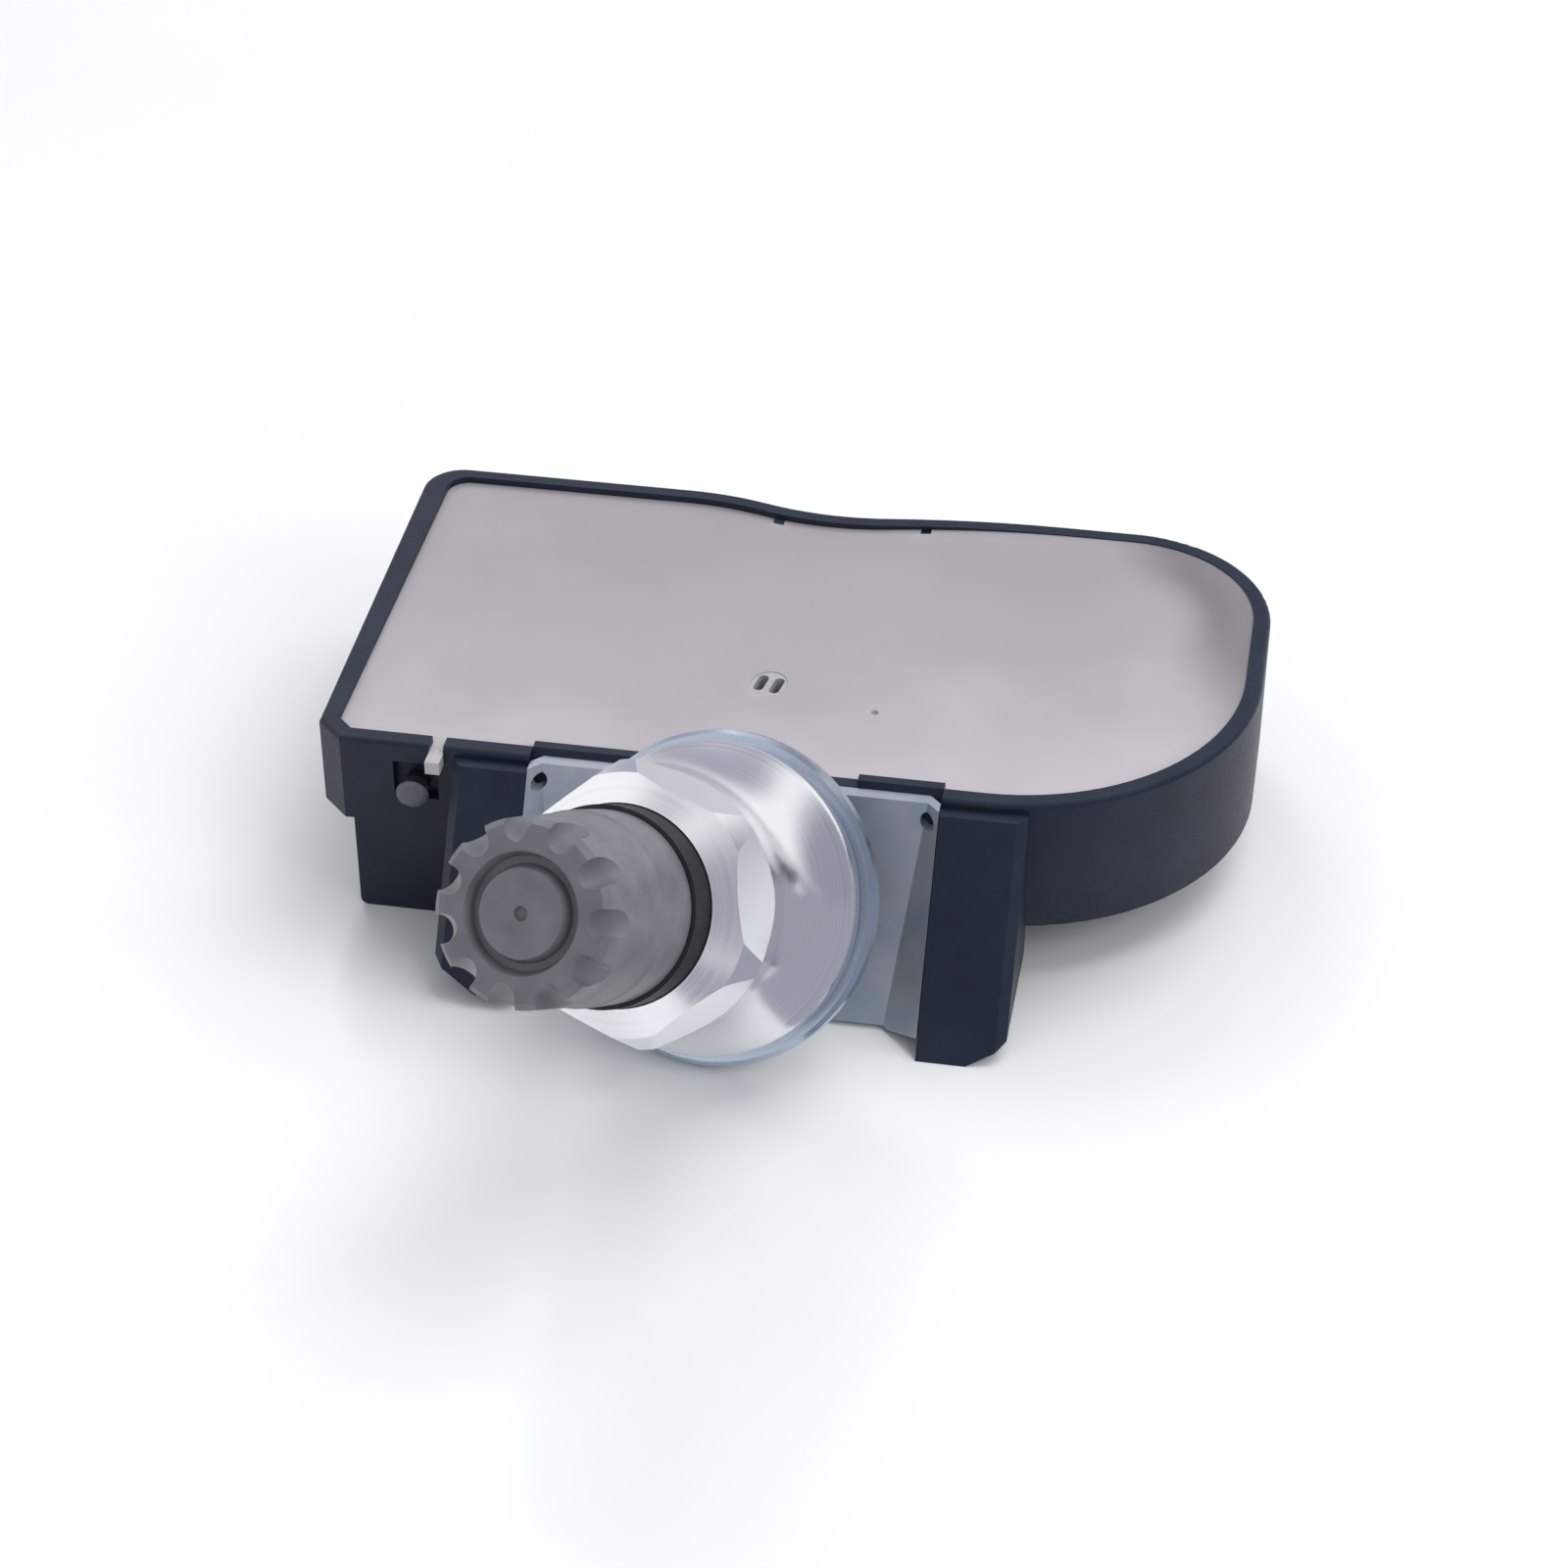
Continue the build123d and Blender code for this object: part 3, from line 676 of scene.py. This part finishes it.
def make_stem():
    """The CAD stem turned again as one closed form, with its nut and cap threads cut into it."""
    ball_low = -(stem_ball**2 - stem_bore**2) ** 0.5
    ball_high = (stem_ball**2 - stem_neck**2) ** 0.5
    profile = []
    for row in range(ball_rows + 1):
        height = ball_low + (ball_high - ball_low) * row / ball_rows
        profile.append(plain_ring(height, (stem_ball**2 - height**2) ** 0.5))
    profile += [
        plain_ring(stem_collar_start, stem_neck),
        plain_ring(stem_collar_start, stem_collar),
        plain_ring(stem_collar_end, stem_collar),
        plain_ring(stem_collar_end, nut_thread_radius),
    ]
    tip_start = stem_end - stem_tip_chamfer
    profile += thread_rings(stem_sleeve_end, stem_shoulder, nut_thread_radius, nut_thread_pitch)
    profile += thread_rings(stem_shoulder, tip_start, cap_thread_radius, cap_thread_pitch)
    profile += [
        plain_ring(stem_end, cap_thread_radius - stem_tip_chamfer),
        plain_ring(stem_end, stem_chamber),
        plain_ring(stem_chamber_start, stem_chamber),
        plain_ring(stem_chamber_start, stem_bore),
    ]
    sideways = valve_axis.orthogonal().normalized()
    upwards = valve_axis.cross(sideways)
    form = bmesh.new()
    rings = []
    for height, radius, groove, pitch in profile:
        ring = []
        for turn in range(stem_turns):
            angle = tau * turn / stem_turns
            cut = groove * (0.5 - 0.5 * cos(tau * height / pitch - angle))
            way = sideways * cos(angle) + upwards * sin(angle)
            ring.append(form.verts.new(ball_centre + valve_axis * height + way * (radius - cut)))
        rings.append(ring)
    join_rings(form, rings + rings[:1])
    bmesh.ops.recalc_face_normals(form, faces=form.faces)
    piece = new_piece("threaded_stem", form, stem_aluminium)
    piece.data.set_sharp_from_angle(angle=stem_sharp_angle)
    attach(piece, "valve")
    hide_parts("valve_stem")


make_stem()


# Stage: white floor, white surroundings, soft lamps and grey cards for the metal to mirror


def stage_sheet(name, size, place, facing):
    """Flat square of the stage that looks along a direction."""
    mesh = bpy.data.meshes.new(name)
    half = size / 2
    corners = [(-half, -half, 0), (half, -half, 0), (half, half, 0), (-half, half, 0)]
    mesh.from_pydata(corners, [], [(0, 1, 2, 3)])
    sheet = bpy.data.objects.new(name, mesh)
    sheet.location = place
    sheet.rotation_euler = facing.to_track_quat("Z", "Y").to_euler()
    scene.collection.objects.link(sheet)
    return sheet


def grey_card(name, place, size, facing, colour, soft=False):
    """Card that only mirrors show, and only from its front; a soft one fades into the backdrop."""
    card = stage_sheet(name, size, place, facing)
    grey, tree, shader = new_material(name, specular=0.0)
    shader.inputs["Base Color"].default_value = (0, 0, 0, 1)
    shader.inputs["Emission Color"].default_value = (*colour, 1)
    shader.inputs["Emission Strength"].default_value = 1.0
    if soft:
        reach = vector_math(tree, "LENGTH", {0: object_place(tree)}, "Value")
        fade = spread(tree, reach, 0, 1, card_core * size / 2, size / 2)
        ends = ((*colour, 1), (*backdrop_colour, 1))
        mixed = add_node(
            tree,
            "ShaderNodeMix",
            {"Factor": fade, **dict(zip(mix_colour_inputs, ends))},
            data_type="RGBA",
        )
        tree.links.new(mixed.outputs[mix_colour_output], shader.inputs["Emission Color"])
    behind = add_node(tree, "ShaderNodeNewGeometry").outputs["Backfacing"]
    clear = add_node(tree, "ShaderNodeBsdfTransparent")
    sides = add_node(
        tree,
        "ShaderNodeMixShader",
        {0: behind, 1: shader.outputs["BSDF"], 2: clear.outputs["BSDF"]},
    )
    tree.links.new(sides.outputs["Shader"], tree.nodes["Material Output"].inputs["Surface"])
    card.data.materials.append(grey)
    card.visible_camera = False
    card.visible_diffuse = False
    card.visible_shadow = False


def far_card(name, way, distance, size, colour):
    """Soft card that stands off the object in a direction and looks at it."""
    grey_card(name, view_target + way * distance, size, -way, colour, soft=True)


def soft_lamp(name, place, size, power, mirrored):
    """Square lamp that looks at the object, and that mirrors show or not."""
    lamp = bpy.data.lights.new(name, "AREA")
    lamp.size = size
    lamp.energy = power
    holder = bpy.data.objects.new(name, lamp)
    holder.location = place
    holder.rotation_euler = (Vector(place) - view_target).to_track_quat("Z", "Y").to_euler()
    holder.visible_glossy = mirrored
    scene.collection.objects.link(holder)


up = Vector((0, 0, 1))
leftward = Vector((-1, 0, 0))
rightward = Vector((1, -0.04, 0.38))
rearward = Vector((-0.25, 0.88, 0.42))
overhead = Vector((0.06, 0.38, 0.92))
towards_camera = Vector(
    (
        sin(view_yaw) * cos(view_elevation),
        -cos(view_yaw) * cos(view_elevation),
        sin(view_elevation),
    )
)

floor = stage_sheet("floor", floor_size, (0, 0, 0), up)
floor_white = moulded(
    "floor_white",
    ((0.93, 0.93, 0.93), (0.95, 0.95, 0.95)),
    cloud=60 * MM,
    grain=1 * MM,
    depth=0,
    roughness=(0.12, 0.16),
)
floor.data.materials.append(floor_white)

far_card("front_card", towards_camera, distance=0.7, size=1.4, colour=(0.36, 0.36, 0.42))
far_card("right_card", rightward, distance=0.6, size=1.6, colour=(0.30, 0.31, 0.37))
far_card("rear_card", rearward, distance=0.7, size=1.1, colour=(0.40, 0.39, 0.46))
far_card("upper_card", overhead, distance=1.1, size=1.3, colour=(0.38, 0.38, 0.44))
grey_card(
    "near_card",
    place=(0.158, -0.176, 0.0004),
    size=0.3,
    facing=up,
    colour=(0.34, 0.35, 0.41),
)
grey_card(
    "ear_card",
    place=(0.0125, -0.024, 0.007),
    size=0.011,
    facing=leftward,
    colour=(0.34, 0.34, 0.40),
)
grey_card(
    "low_card",
    place=(0.365, -0.240, 0.0008),
    size=0.6,
    facing=up,
    colour=(0.32, 0.33, 0.39),
)

scene.view_settings.view_transform = "Standard"
world = bpy.data.worlds.new("studio")
world.use_nodes = True
scene.world = world
tree = world.node_tree
lighting = tree.nodes["Background"]
lighting.inputs["Color"].default_value = (*light_colour, 1)
lighting.inputs["Strength"].default_value = light_strength
backdrop = add_node(tree, "ShaderNodeBackground", {"Color": (*backdrop_colour, 1), "Strength": 1.0})
ray = add_node(tree, "ShaderNodeLightPath").outputs
seen = number_math(tree, "MAXIMUM", ray["Is Camera Ray"], ray["Is Glossy Ray"])
seen = number_math(tree, "MAXIMUM", seen, ray["Is Transmission Ray"])
sky = add_node(
    tree,
    "ShaderNodeMixShader",
    {0: seen, 1: lighting.outputs["Background"], 2: backdrop.outputs["Background"]},
)
tree.links.new(sky.outputs["Shader"], tree.nodes["World Output"].inputs["Surface"])

soft_lamp("key_lamp", place=(0.30, 0.30, 0.75), size=0.6, power=3.6, mirrored=False)
soft_lamp("side_lamp", place=(0.42, -0.25, 0.36), size=0.3, power=0.9, mirrored=False)
soft_lamp("top_lamp", place=(-0.27, 0.50, 0.56), size=0.24, power=1.0, mirrored=True)

camera = bpy.data.objects.new("camera", bpy.data.cameras.new("camera"))
camera.data.lens = view_lens
camera.data.clip_start = view_clip
camera.location = view_target + towards_camera * view_distance
camera.rotation_euler = towards_camera.to_track_quat("Z", "Y").to_euler()
scene.collection.objects.link(camera)
scene.camera = camera
